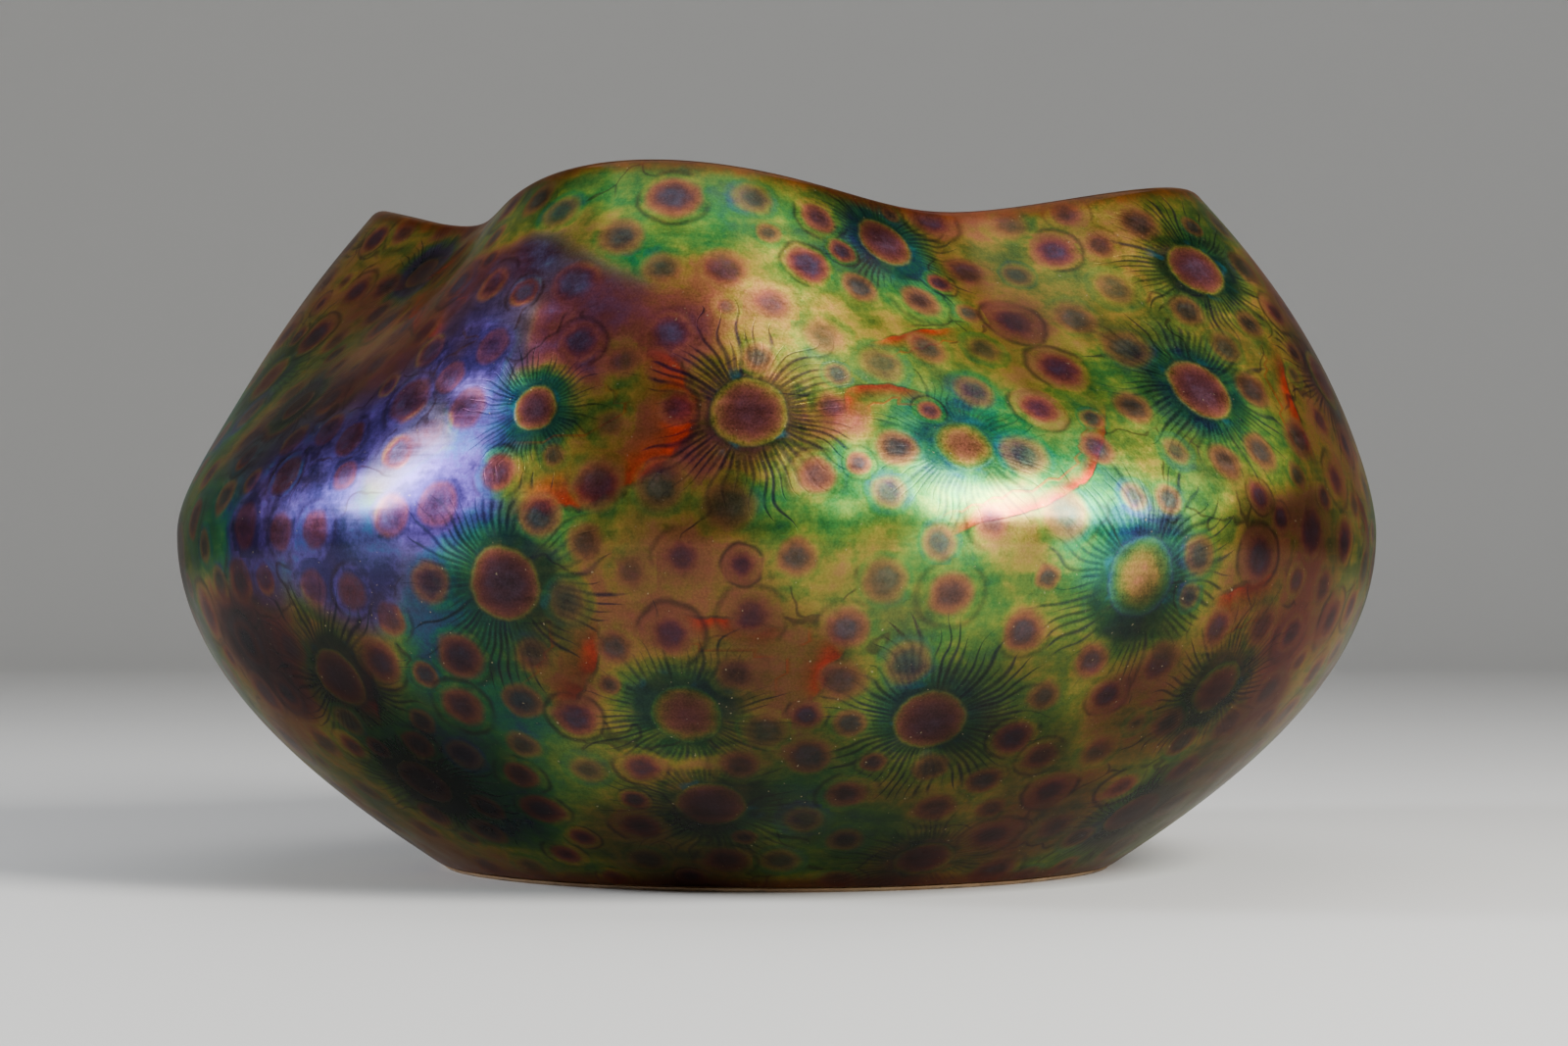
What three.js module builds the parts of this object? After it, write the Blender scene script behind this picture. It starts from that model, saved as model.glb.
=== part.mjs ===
// A squat, wide-bellied bowl with a four-lobed mouth, in iridescent glaze over fired clay.
// Millimetres, +Z up. The origin is the middle of the foot, on the surface the bowl stands on.
// +X, +Y, -X and -Y each pass through a high point of the rim.
//
// The bowl is one firing of five pieces: the clay body, the bare foot ring under it, and three coats of
// glaze that the bare ring and the lip keep apart. Each piece is a lathe of a closed section, and one
// shared function then presses the lobes into it, so neighbouring pieces stay nested.
import * as THREE from "three";

// Wall, as the outside of the glaze before the lobes are pressed in.
const BELLY_RADIUS = 130;
const BELLY_HEIGHT = 72;
const RIM_RADIUS = 83;
const RIM_HEIGHT = 140;
const GLAZE_LINE_RADIUS = 74;
const GLAZE_LINE_HEIGHT = 1.1;
const FOOT_FLARE = new THREE.Vector2(29, 19);
const BELLY_FULLNESS_BELOW = 29;
const BELLY_FULLNESS_ABOVE = 18;
const SHOULDER_SLOPE = new THREE.Vector2(17, -19.5);

// Lobes, pressed into the wall from the belly up.
const LOBES = 4;
const LOBE_REACH = 10.3;
const LOBE_RISE = 4;
const LOBE_RISE_POWER = 1.5;

// Layers, counted inwards from the outside of the wall.
const WALL = 6;
const GLAZE = 0.6;
const GAP = 0.3;
const CLAY_START = GLAZE + GAP;
const CLAY_END = WALL - CLAY_START;

// Base and foot.
const FOOT_INNER_RADIUS = 64;
const FOOT_CONTACT_RADIUS = 72.4;
const FOOT_SHOULDER_RADIUS = 73.4;
const FOOT_SHOULDER_HEIGHT = 0.8;
const FOOT_SEAT_RADIUS = 71.5;
const FOOT_HEIGHT = 6;
const BASE_BOTTOM = FOOT_HEIGHT + GAP;
const FLOOR_HEIGHT = 12.2;
const FLOOR_RADIUS = 62;
const FLOOR_BLEND_RADIUS = 79;
const FLOOR_BLEND_END = 0.11;

// Steps round the bowl, up the wall, over the lip and across the curve between floor and wall.
const STEPS_ROUND = 48;
const STEPS_WALL = 12;
const STEPS_LIP = 4;
const STEPS_BLEND = 3;

const CLAY = { color: 0xd9c3a0, roughness: 0.9, metalness: 0 };
const LUSTRE = { color: 0x5d6b2e, roughness: 0.3, metalness: 0.7 };
const LINING = { color: 0x7a4a26, roughness: 0.3, metalness: 0.4 };
const UNDERSIDE = { color: 0x6b4a2c, roughness: 0.35, metalness: 0.2 };

// The outside of the wall, from the glaze line above the foot, out to the belly and in to the lip.
function makeWallCurve() {
  const curve = new THREE.Path();
  curve.moveTo(GLAZE_LINE_RADIUS, GLAZE_LINE_HEIGHT);
  curve.bezierCurveTo(
    GLAZE_LINE_RADIUS + FOOT_FLARE.x, GLAZE_LINE_HEIGHT + FOOT_FLARE.y,
    BELLY_RADIUS, BELLY_HEIGHT - BELLY_FULLNESS_BELOW,
    BELLY_RADIUS, BELLY_HEIGHT,
  );
  curve.bezierCurveTo(
    BELLY_RADIUS, BELLY_HEIGHT + BELLY_FULLNESS_ABOVE,
    RIM_RADIUS + SHOULDER_SLOPE.x, RIM_HEIGHT + SHOULDER_SLOPE.y,
    RIM_RADIUS, RIM_HEIGHT,
  );
  return curve;
}

const wallCurve = makeWallCurve();

// A point at a share of the way up the wall, a depth inside its outer surface.
function wallPoint(share, depth) {
  const point = wallCurve.getPointAt(share);
  const tangent = wallCurve.getTangentAt(share);
  const inwards = new THREE.Vector2(-tangent.y, tangent.x);
  return point.addScaledVector(inwards, depth);
}

// Points up the wall from one share to another, or down it, all at one depth.
function wallRun(from, to, depth) {
  const points = [];
  for (let i = 0; i <= STEPS_WALL; i++) {
    points.push(wallPoint(THREE.MathUtils.lerp(from, to, i / STEPS_WALL), depth));
  }
  return points;
}

// The half circle over the lip, from the outside to the inside, a depth under its surface.
function lipRun(depth) {
  const tangent = wallCurve.getTangentAt(1);
  const inwards = new THREE.Vector2(-tangent.y, tangent.x);
  const centre = wallPoint(1, WALL / 2);
  const radius = WALL / 2 - depth;
  const points = [];
  for (let i = 1; i <= STEPS_LIP; i++) {
    const angle = (Math.PI * i) / STEPS_LIP;
    points.push(
      centre
        .clone()
        .addScaledVector(inwards, -radius * Math.cos(angle))
        .addScaledVector(tangent, radius * Math.sin(angle)),
    );
  }
  return points;
}

// From the end of the inside wall, round the soft curve at its foot, to the middle of the floor.
function floorRun(depth) {
  const height = FLOOR_HEIGHT - (WALL - depth);
  const blend = new THREE.QuadraticBezierCurve(
    wallPoint(FLOOR_BLEND_END, depth),
    new THREE.Vector2(FLOOR_BLEND_RADIUS, height),
    new THREE.Vector2(FLOOR_RADIUS, height),
  );
  return [...blend.getPoints(STEPS_BLEND).slice(1), new THREE.Vector2(0, height)];
}

// Presses the four lobes in: above the belly the wall goes out and up at a lobe, in and down between two.
function pressLobes(geometry) {
  const position = geometry.getAttribute("position");
  const vertex = new THREE.Vector3();
  for (let i = 0; i < position.count; i++) {
    vertex.fromBufferAttribute(position, i);
    const wave = Math.cos(LOBES * Math.atan2(vertex.y, vertex.x));
    const share = THREE.MathUtils.clamp((vertex.z - BELLY_HEIGHT) / (RIM_HEIGHT - BELLY_HEIGHT), 0, 1);
    const reach = 1 + (LOBE_REACH / RIM_RADIUS) * wave * THREE.MathUtils.smoothstep(share, 0, 1);
    const rise = LOBE_RISE * wave * share ** LOBE_RISE_POWER;
    position.setXYZ(i, vertex.x * reach, vertex.y * reach, vertex.z + rise);
  }
  return geometry;
}

// LatheGeometry splits its quads one way along a section, so a run down a section is split across a run up it.
// Turning the splits of some spans over lets two faces that lie close together stay parallel once pressed.
function turnSplits(geometry, spans, turned) {
  const index = geometry.getIndex();
  for (let quad = 0; quad < index.count / 6; quad++) {
    if (quad % spans >= turned) continue;
    const [a, b, d, c] = [0, 1, 2, 3].map((corner) => index.getX(6 * quad + corner));
    [a, b, c, c, d, a].forEach((vertex, corner) => index.setX(6 * quad + corner, vertex));
  }
}

// A named piece: its section, as radius and height, turned about Z and pressed into lobes. The first spans
// of the section, as many as turned says, have their splits turned over.
function makePiece(name, section, material, turned = 0) {
  const geometry = new THREE.LatheGeometry(section, STEPS_ROUND).rotateX(Math.PI / 2);
  turnSplits(geometry, section.length - 1, turned);
  const mesh = new THREE.Mesh(pressLobes(geometry), new THREE.MeshStandardMaterial(material));
  mesh.name = name;
  return mesh;
}

// A thin coat between its shown face and its back, both given in the order that runs up the outside.
function makeCoat(name, face, back, material) {
  const section = [...back.reverse(), ...face];
  if (section[0].x > 0) section.push(section[0].clone());
  return makePiece(name, section, material, back.length - 1);
}

// The fired clay: wall, lip and base slab in one, rebated underneath for the foot ring.
function makeClayBody() {
  const seatRadius = FOOT_SEAT_RADIUS + GAP;
  const section = [
    new THREE.Vector2(0, BASE_BOTTOM),
    new THREE.Vector2(seatRadius, BASE_BOTTOM),
    new THREE.Vector2(seatRadius, GLAZE_LINE_HEIGHT),
    ...wallRun(0, 1, CLAY_START),
    ...lipRun(CLAY_START),
    ...wallRun(1, FLOOR_BLEND_END, CLAY_END).slice(1),
    ...floorRun(CLAY_END),
  ];
  return makePiece("clay_body", section, CLAY);
}

// The bare ring the bowl stands on. Its flat underside is the bowl's only bearing face.
function makeFootRing() {
  const section = [
    new THREE.Vector2(FOOT_INNER_RADIUS, 0),
    new THREE.Vector2(FOOT_CONTACT_RADIUS, 0),
    new THREE.Vector2(FOOT_SHOULDER_RADIUS, FOOT_SHOULDER_HEIGHT),
    new THREE.Vector2(FOOT_SEAT_RADIUS, FOOT_SHOULDER_HEIGHT),
    new THREE.Vector2(FOOT_SEAT_RADIUS, FOOT_HEIGHT),
    new THREE.Vector2(FOOT_INNER_RADIUS, FOOT_HEIGHT),
    new THREE.Vector2(FOOT_INNER_RADIUS, 0),
  ];
  return makePiece("foot_ring", section, CLAY);
}

// The iridescent coat over the whole outside, carried over the lip to its inner edge.
function makeOuterGlaze() {
  const face = [...wallRun(0, 1, 0), ...lipRun(0)];
  const back = [...wallRun(0, 1, GLAZE), ...lipRun(GLAZE)];
  return makeCoat("outer_glaze", face, back, LUSTRE);
}

// The lining, from just under the lip down the inside and across the floor.
function makeInnerGlaze() {
  const top = 1 - GAP / wallCurve.getLength();
  const face = [...wallRun(top, FLOOR_BLEND_END, WALL), ...floorRun(WALL)];
  const back = [...wallRun(top, FLOOR_BLEND_END, WALL - GLAZE), ...floorRun(WALL - GLAZE)];
  return makeCoat("inner_glaze", face, back, LINING);
}

// The patch of glaze inside the foot ring, cut off from the outside coat by the bare ring.
function makeUndersideGlaze() {
  const radius = FOOT_INNER_RADIUS - GAP;
  const section = [
    new THREE.Vector2(0, FOOT_HEIGHT - GLAZE),
    new THREE.Vector2(radius, FOOT_HEIGHT - GLAZE),
    new THREE.Vector2(radius, FOOT_HEIGHT),
    new THREE.Vector2(0, FOOT_HEIGHT),
  ];
  return makePiece("underside_glaze", section, UNDERSIDE);
}

const bowl = new THREE.Group();
bowl.name = "bowl";
bowl.add(makeClayBody(), makeFootRing(), makeOuterGlaze(), makeInnerGlaze(), makeUndersideGlaze());

export default bowl;
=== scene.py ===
import math
import random

import bpy
import numpy as np
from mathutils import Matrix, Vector, noise


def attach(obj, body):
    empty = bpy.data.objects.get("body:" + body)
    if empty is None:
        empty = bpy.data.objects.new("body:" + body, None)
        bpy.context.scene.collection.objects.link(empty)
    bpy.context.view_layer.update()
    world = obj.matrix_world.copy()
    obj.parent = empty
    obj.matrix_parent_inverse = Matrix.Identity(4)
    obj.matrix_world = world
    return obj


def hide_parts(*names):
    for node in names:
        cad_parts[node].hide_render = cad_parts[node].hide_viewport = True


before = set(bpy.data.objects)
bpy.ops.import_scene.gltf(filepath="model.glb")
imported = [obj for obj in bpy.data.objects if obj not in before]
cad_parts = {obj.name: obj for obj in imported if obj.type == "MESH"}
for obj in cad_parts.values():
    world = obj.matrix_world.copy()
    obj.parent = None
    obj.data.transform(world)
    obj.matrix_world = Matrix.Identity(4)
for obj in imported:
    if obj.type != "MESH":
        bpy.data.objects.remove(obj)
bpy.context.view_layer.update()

# The scene is in metres, with +Z up and the origin in the middle of the foot. Lengths below are in
# millimetres. An azimuth is in degrees, counted from the lobe that faces the camera side (-Y) towards +X.
MM = 0.001

# The bowl's wall, as in the frame: the outside of the glaze before the lobes are pressed in.
BELLY_RADIUS = 130
BELLY_HEIGHT = 72
RIM_RADIUS = 83
RIM_HEIGHT = 140
GLAZE_LINE_RADIUS = 74
GLAZE_LINE_HEIGHT = 1.1
FOOT_FLARE = (29, 19)
BELLY_FULLNESS_BELOW = 29
BELLY_FULLNESS_ABOVE = 18
SHOULDER_SLOPE = (17, -19.5)

LOBES = 4
LOBE_REACH = 10.3
LOBE_RISE = 4
LOBE_RISE_POWER = 1.5

WALL = 6
GLAZE = 0.6
GAP = 0.3
CLAY_START = GLAZE + GAP
CLAY_END = WALL - CLAY_START

FOOT_INNER_RADIUS = 64
FOOT_CONTACT_RADIUS = 72.4
FOOT_SHOULDER_RADIUS = 73.4
FOOT_SHOULDER_HEIGHT = 0.8
FOOT_SEAT_RADIUS = 71.5
FOOT_HEIGHT = 6
BASE_BOTTOM = FOOT_HEIGHT + GAP
FLOOR_HEIGHT = 12.2
FLOOR_RADIUS = 62
FLOOR_BLEND_RADIUS = 79
FLOOR_BLEND_END = 0.11

# Steps of the shown meshes: round the bowl, up a shown face, up a hidden face, and over the lip.
STEPS_ROUND = 384
STEPS_FACE = 132
STEPS_HIDDEN = 24
STEPS_LIP = 12
STEPS_FLOOR = 14

# Rayed bursts on the side towards the camera: azimuth, height, disc radius, film value of the glaze
# round the disc, how dark the rays are, and film value in the middle of the disc.
BURSTS = [
    (32, 129, 6.2, 0.30, 0.8, 0.84),
    (75, 126, 6.6, 0.36, 1.0, 0.84),
    (15, 94, 6.9, 0.55, 1.0, 0.80),
    (-4, 95, 4.4, 0.10, 0.8, 0.84),
    (-6, 62, 7.0, 0.33, 1.0, 0.88),
    (9, 37, 6.6, 0.34, 0.9, 0.72),
    (32, 36, 7.0, 0.35, 1.0, 0.84),
    (50, 63, 7.4, 0.31, 0.9, 0.57),
    (64, 100, 7.2, 0.38, 0.9, 0.84),
    (10, 19, 6.6, 0.38, 0.7, 0.84),
    (34, 88, 5.6, 0.32, 0.6, 0.66),
    (-43, 98, 4.5, 0.02, 1.0, 0.84),
    (-49, 127, 4.5, 0.06, 1.0, 0.84),
    (88, 104, 6.5, 0.62, 1.0, 0.78),
    (64, 41, 6.2, 0.50, 0.9, 0.74),
    (-28, 43, 6.5, 0.40, 1.0, 0.84),
    (38, 7, 6.0, 0.48, 0.7, 0.78),
    (68, 15, 6.5, 0.40, 0.8, 0.84),
    (-26, 22, 6.2, 0.40, 0.8, 0.84),
]

# Zones of the glaze: azimuth, height, reach, film value and brightness. Half a turn round they come again.
# The brightness is partly the glaze's own and partly painted light: painted shade low on the bowl, and painted
# highlights where the softboxes show in the glaze.
ZONES = [
    (-48, 128, 13, 0.62, 0.44), (-28, 112, 11, 0.68, 0.48), (-42, 92, 10, 0.96, 0.34),
    (-34, 84, 9, 0.05, 0.50), (-32, 102, 7, 0.78, 0.42), (-45, 76, 9, 0.24, 0.40),
    (-23, 94, 9, 0.08, 0.56), (-14, 110, 9, 0.02, 1.05), (-9, 97, 8, 0.12, 0.80),
    (-17, 89, 5, 0.95, 1.15), (-6, 103, 4, 0.90, 0.90), (-25, 103, 6, 0.86, 0.62),
    (-44, 99, 4, 0.02, 0.12), (-50, 127, 4, 0.02, 0.12), (-38, 111, 5, 0.60, 0.62),
    (-18, 119, 8, 0.86, 0.95), (-9, 122, 7, 0.90, 1.00), (-17, 131, 6, 0.52, 0.85),
    (-5, 132, 7, 0.40, 1.00), (7, 132, 8, 0.40, 1.00), (2, 125, 6, 0.34, 0.95),
    (0, 117, 7, 0.86, 0.95), (9, 119, 6, 0.60, 0.85), (7, 110, 6, 0.78, 0.85),
    (-2, 107, 7, 0.80, 1.00), (9, 88, 7, 0.74, 0.82),
    (19, 110, 9, 0.53, 1.35), (22, 126, 8, 0.44, 1.25), (31, 107, 8, 0.50, 0.98),
    (34, 121, 8, 0.42, 1.50), (44, 134, 8, 0.60, 0.60), (46, 120, 8, 0.60, 0.50),
    (59, 115, 9, 0.58, 0.54), (51, 103, 8, 0.43, 0.62), (62, 124, 7, 0.56, 0.72),
    (84, 138, 7, 0.50, 0.60), (79, 124, 7, 0.56, 1.05), (75, 110, 9, 0.54, 0.76), (66, 93, 9, 0.46, 1.15),
    (84, 94, 12, 0.58, 0.62), (22, 91, 5, 0.74, 0.68), (35, 93, 9, 0.33, 0.94),
    (43, 87, 8, 0.34, 1.15), (54, 84, 9, 0.48, 1.25), (47, 72, 7, 0.33, 1.35),
    (33, 75, 8, 0.43, 1.65), (22, 80, 8, 0.39, 1.15), (22, 66, 9, 0.44, 0.52),
    (36, 58, 11, 0.44, 0.50), (9, 63, 12, 0.60, 0.32), (8, 76, 7, 0.48, 0.70), (-2, 79, 6, 0.46, 0.95),
    (-12, 77, 8, 0.09, 1.25), (-27, 78, 9, 0.14, 0.56), (-20, 70, 5, 0.24, 0.60), (-36, 68, 8, 0.07, 0.36),
    (-22, 64, 8, 0.04, 0.38), (-12, 58, 6, 0.29, 0.32), (-11, 42, 9, 0.29, 0.20),
    (-26, 46, 9, 0.66, 0.15), (-38, 50, 10, 0.80, 0.14), (-2, 48, 6, 0.66, 0.22),
    (17, 49, 9, 0.61, 0.22), (38, 46, 9, 0.52, 0.23), (52, 50, 7, 0.47, 0.24),
    (70, 57, 13, 0.67, 0.25), (57, 37, 10, 0.67, 0.17), (73, 37, 8, 0.65, 0.17),
    (42, 29, 9, 0.49, 0.15), (18, 28, 10, 0.42, 0.13), (-20, 25, 13, 0.33, 0.11),
    (4, 11, 11, 0.56, 0.12), (30, 14, 11, 0.48, 0.14), (51, 15, 10, 0.62, 0.14),
    (78, 18, 13, 0.50, 0.14), (98, 120, 12, 0.62, 0.45), (102, 72, 14, 0.50, 0.45),
    (100, 40, 13, 0.45, 0.20), (118, 96, 13, 0.32, 0.60), (116, 128, 11, 0.56, 0.55),
    (118, 52, 13, 0.38, 0.28),
]
# Film value and brightness where no zone reaches; the brightness is partly painted light, as in the zones.
REST_FILM = 0.50
REST_BRIGHTNESS_AND_PAINTED_LIGHT = 0.45

# Red and orange veins where the glaze pulled thin: half width, then azimuth and height from end to end.
VEINS = [
    (3.4, [(4, 108), (8, 101), (9, 94), (8, 88), (5, 83), (2, 80), (-3, 79), (-6, 78)]),
    (1.0, [(51, 97), (48, 89), (45, 82), (40, 77), (34, 74), (31, 71)]),
    (1.1, [(24, 93), (24, 98), (28, 99), (32, 97)]),
    (1.1, [(27, 107), (33, 110), (38, 111)]),
    (1.6, [(80, 112), (77, 102), (76, 94), (76, 85)]),
    (2.4, [(59, 57), (63, 60), (67, 62)]),
    (2.4, [(1, 56), (1, 49), (-1, 43), (-4, 38)]),
    (2.0, [(23, 53), (21, 46), (20, 40)]),
    (2.4, [(-23, 48), (-25, 41), (-27, 34)]),
    (2.6, [(-18, 111), (-25, 113), (-32, 117), (-40, 122)]),
    (2.0, [(-36, 130), (-44, 126), (-54, 124)]),
    (1.6, [(9, 55), (14, 54), (18, 52)]),
    (1.6, [(84, 82), (88, 74), (90, 66)]),
    (2.0, [(120, 118), (126, 112), (129, 104), (128, 96)]),
    (1.8, [(150, 72), (158, 68), (166, 70), (172, 76)]),
    (2.4, [(-100, 92), (-93, 88), (-84, 90), (-78, 97)]),
    (1.8, [(205, 104), (212, 98), (216, 90)]),
    (2.0, [(236, 60), (240, 52), (240, 44)]),
]


def bezier(a, b, c, d, steps):
    """Points along a cubic curve."""
    t = np.linspace(0, 1, steps)[:, None]
    a, b, c, d = (np.array(point, float) for point in (a, b, c, d))
    return (1 - t) ** 3 * a + 3 * (1 - t) ** 2 * t * b + 3 * (1 - t) * t**2 * c + t**3 * d


def make_wall():
    """The wall's outline as radius and height, with the share of its length reached at each point."""
    lower = bezier(
        (GLAZE_LINE_RADIUS, GLAZE_LINE_HEIGHT),
        (GLAZE_LINE_RADIUS + FOOT_FLARE[0], GLAZE_LINE_HEIGHT + FOOT_FLARE[1]),
        (BELLY_RADIUS, BELLY_HEIGHT - BELLY_FULLNESS_BELOW),
        (BELLY_RADIUS, BELLY_HEIGHT),
        400,
    )
    upper = bezier(
        (BELLY_RADIUS, BELLY_HEIGHT),
        (BELLY_RADIUS, BELLY_HEIGHT + BELLY_FULLNESS_ABOVE),
        (RIM_RADIUS + SHOULDER_SLOPE[0], RIM_HEIGHT + SHOULDER_SLOPE[1]),
        (RIM_RADIUS, RIM_HEIGHT),
        400,
    )
    outline = np.vstack([lower, upper[1:]])
    steps = np.linalg.norm(np.diff(outline, axis=0), axis=1)
    reached = np.concatenate([[0], np.cumsum(steps)])
    return outline, reached / reached[-1], reached[-1]


wall_outline, wall_share, wall_length = make_wall()
wall_slope = np.gradient(wall_outline, axis=0)
wall_slope /= np.linalg.norm(wall_slope, axis=1)[:, None]


def along(share, values):
    """The wall's values at a share of the way up it."""
    return np.stack([np.interp(share, wall_share, values[:, i]) for i in range(2)], axis=-1)


def wall_run(start, end, depth, steps):
    """Points up the wall, or down it, all at one depth inside its outer surface."""
    share = np.linspace(start, end, steps + 1)
    slope = along(share, wall_slope)
    inwards = np.stack([-slope[:, 1], slope[:, 0]], axis=-1)
    return along(share, wall_outline) + depth * inwards


def lip_run(depth):
    """The half circle over the lip, from the outside to the inside, a depth under its surface."""
    slope = wall_slope[-1]
    inwards = np.array([-slope[1], slope[0]])
    centre = wall_outline[-1] + inwards * WALL / 2
    angle = np.pi * np.arange(1, STEPS_LIP + 1)[:, None] / STEPS_LIP
    return centre + (WALL / 2 - depth) * (np.sin(angle) * slope - np.cos(angle) * inwards)


def floor_run(depth):
    """From the end of the inside wall, round the soft curve at its foot, to the middle of the floor."""
    height = FLOOR_HEIGHT - (WALL - depth)
    start = wall_run(FLOOR_BLEND_END, FLOOR_BLEND_END, depth, 0)[0]
    turn = np.array([FLOOR_BLEND_RADIUS, height])
    end = np.array([FLOOR_RADIUS, height])
    t = np.linspace(0, 1, STEPS_FLOOR + 1)[1:, None]
    curve = (1 - t) ** 2 * start + 2 * (1 - t) * t * turn + t**2 * end
    flat = np.stack([np.linspace(FLOOR_RADIUS, 0, 9)[1:], np.full(8, height)], axis=-1)
    return np.vstack([curve, flat])


def press_lobes(points):
    """Presses the four lobes in: above the belly the wall goes out and up at a lobe, and in between two."""
    x, y, z = points.T
    wave = np.cos(LOBES * np.arctan2(y, x))
    share = np.clip((z - BELLY_HEIGHT) / (RIM_HEIGHT - BELLY_HEIGHT), 0, 1)
    reach = 1 + LOBE_REACH / RIM_RADIUS * wave * share**2 * (3 - 2 * share)
    return np.stack([x * reach, y * reach, z + LOBE_RISE * wave * share**LOBE_RISE_POWER], axis=-1)


def turned(section):
    """The section's points turned about Z, ring by ring, a ring per step round."""
    angle = 2 * np.pi * np.arange(STEPS_ROUND) / STEPS_ROUND
    radius, height = section.T
    return np.stack(
        [
            np.sin(angle)[:, None] * radius,
            -np.cos(angle)[:, None] * radius,
            np.broadcast_to(height, (STEPS_ROUND, len(section))),
        ],
        axis=-1,
    )


def lathe(name, section, closed):
    """A piece turned from a section. A section that isn't closed on itself starts and ends on the axis."""
    on_axis = [] if closed else [section[0], section[-1]]
    ring = section if closed else section[1:-1]
    count = len(ring)
    vertices = press_lobes(turned(ring).reshape(-1, 3))
    if on_axis:
        vertices = np.vstack([vertices, [[0, 0, point[1]] for point in on_axis]])
    faces = []
    spans = count if closed else count - 1
    for i in range(STEPS_ROUND):
        here, there = i * count, (i + 1) % STEPS_ROUND * count
        for j in range(spans):
            k = (j + 1) % count
            faces.append((here + j, there + j, there + k, here + k))
        if on_axis:
            first, last = STEPS_ROUND * count, STEPS_ROUND * count + 1
            faces.append((first, there, here))
            faces.append((last, here + count - 1, there + count - 1))
    mesh = bpy.data.meshes.new(name)
    mesh.from_pydata((vertices * MM).tolist(), [], faces)
    mesh.polygons.foreach_set("use_smooth", [True] * len(mesh.polygons))
    mesh.set_sharp_from_angle(angle=math.radians(50))
    piece = bpy.data.objects.new(name, mesh)
    bpy.context.collection.objects.link(piece)
    return piece


def coat(name, face, back):
    """A thin coat between its shown face and its back, both in the order that runs up the outside."""
    section = np.vstack([back[::-1], face])
    return lathe(name, section, closed=section[0][0] > 1)


# ---------------------------------------------------------------- camera, lights and stage

CAMERA_AZIMUTH = 17.4
CAMERA_DISTANCE = 813
CAMERA_HEIGHT = 66.9
AIM_HEIGHT = 74.5
AIM_RIGHT = 1.57
LENS = 85


def heading(azimuth):
    return np.array([math.sin(math.radians(azimuth)), -math.cos(math.radians(azimuth)), 0])


def look(thing, at):
    thing.rotation_euler = (Vector(at) - thing.location).to_track_quat("-Z", "Y").to_euler()


def make_camera():
    camera = bpy.data.objects.new("camera", bpy.data.cameras.new("camera"))
    camera.data.lens = LENS
    camera.data.sensor_width = 36
    camera.data.clip_start = 0.01
    camera.location = (heading(CAMERA_AZIMUTH) * CAMERA_DISTANCE + [0, 0, CAMERA_HEIGHT]) * MM
    right = heading(CAMERA_AZIMUTH + 90)
    look(camera, (right * AIM_RIGHT + [0, 0, AIM_HEIGHT]) * MM)
    bpy.context.collection.objects.link(camera)
    bpy.context.scene.camera = camera


def make_lamp(name, azimuth, elevation, distance, width, height, power, colour):
    lamp = bpy.data.objects.new(name, bpy.data.lights.new(name, "AREA"))
    lamp.data.shape = "RECTANGLE"
    lamp.data.size = width
    lamp.data.size_y = height
    lamp.data.energy = power
    lamp.data.color = colour
    level = math.radians(elevation)
    away = heading(azimuth) * math.cos(level) + np.array([0, 0, math.sin(level)])
    centre = np.array([0, 0, BELLY_HEIGHT * MM])
    lamp.location = centre + away * distance
    look(lamp, centre)
    bpy.context.collection.objects.link(lamp)


def make_lights():
    make_lamp("left_softbox", -62, 22, 1.1, 0.22, 0.26, 10, (0.90, 0.93, 1.0))
    make_lamp("right_softbox", 64, 31, 1.0, 0.30, 0.48, 22, (1.0, 0.98, 0.94))
    make_lamp("overhead", 200, 75, 1.3, 1.2, 1.2, 6, (1, 1, 1))
    world = bpy.data.worlds.new("studio")
    world.use_nodes = True
    world.node_tree.nodes["Background"].inputs["Color"].default_value = (0.80, 0.80, 0.80, 1)
    world.node_tree.nodes["Background"].inputs["Strength"].default_value = 0.10
    bpy.context.scene.world = world


def make_stage():
    """A round pale floor that curves up into a wall, so that every side has the same backdrop."""
    floor_radius, wall_radius, bend, top = 1.5, 2.3, 0.8, 1.9
    angle = np.linspace(0, np.pi / 2, 17)
    profile = [(0.0, 0.0), (0.4, 0.0), (0.9, 0.0)]
    profile += [(floor_radius + bend * math.sin(a), bend - bend * math.cos(a)) for a in angle]
    profile.append((wall_radius, top))
    steps = 96
    vertices = [
        (r * math.cos(2 * math.pi * i / steps), r * math.sin(2 * math.pi * i / steps), z)
        for i in range(steps)
        for r, z in profile[1:]
    ]
    vertices.append((0, 0, 0))
    count = len(profile) - 1
    faces = []
    for i in range(steps):
        here, there = i * count, (i + 1) % steps * count
        faces.append((len(vertices) - 1, here, there))
        faces += [(here + j, here + j + 1, there + j + 1, there + j) for j in range(count - 1)]
    mesh = bpy.data.meshes.new("floor")
    mesh.from_pydata(vertices, [], faces)
    mesh.polygons.foreach_set("use_smooth", [True] * len(mesh.polygons))
    floor = bpy.data.objects.new("floor", mesh)
    bpy.context.collection.objects.link(floor)
    material = bpy.data.materials.new("stage_paper")
    material.use_nodes = True
    shader = material.node_tree.nodes["Principled BSDF"]
    shader.inputs["Base Color"].default_value = (0.64, 0.64, 0.63, 1)
    shader.inputs["Roughness"].default_value = 0.6
    mesh.materials.append(material)


# ---------------------------------------------------------------- the pattern of the outer glaze


def wall_at(azimuth, height):
    """The point of the pressed outside at an azimuth and height, with its outward normal."""
    def pressed(turn):
        points = np.column_stack([wall_outline[:, :1] * heading(turn)[None, :2], wall_outline[:, 1]])
        return press_lobes(points)

    column = pressed(azimuth)
    i = int(np.clip(np.searchsorted(column[:, 2], height), 1, len(column) - 2))
    beside = pressed(azimuth + 0.5)[i] - pressed(azimuth - 0.5)[i]
    normal = np.cross(beside, column[i + 1] - column[i - 1])
    return column[i], normal / np.linalg.norm(normal)


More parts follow.
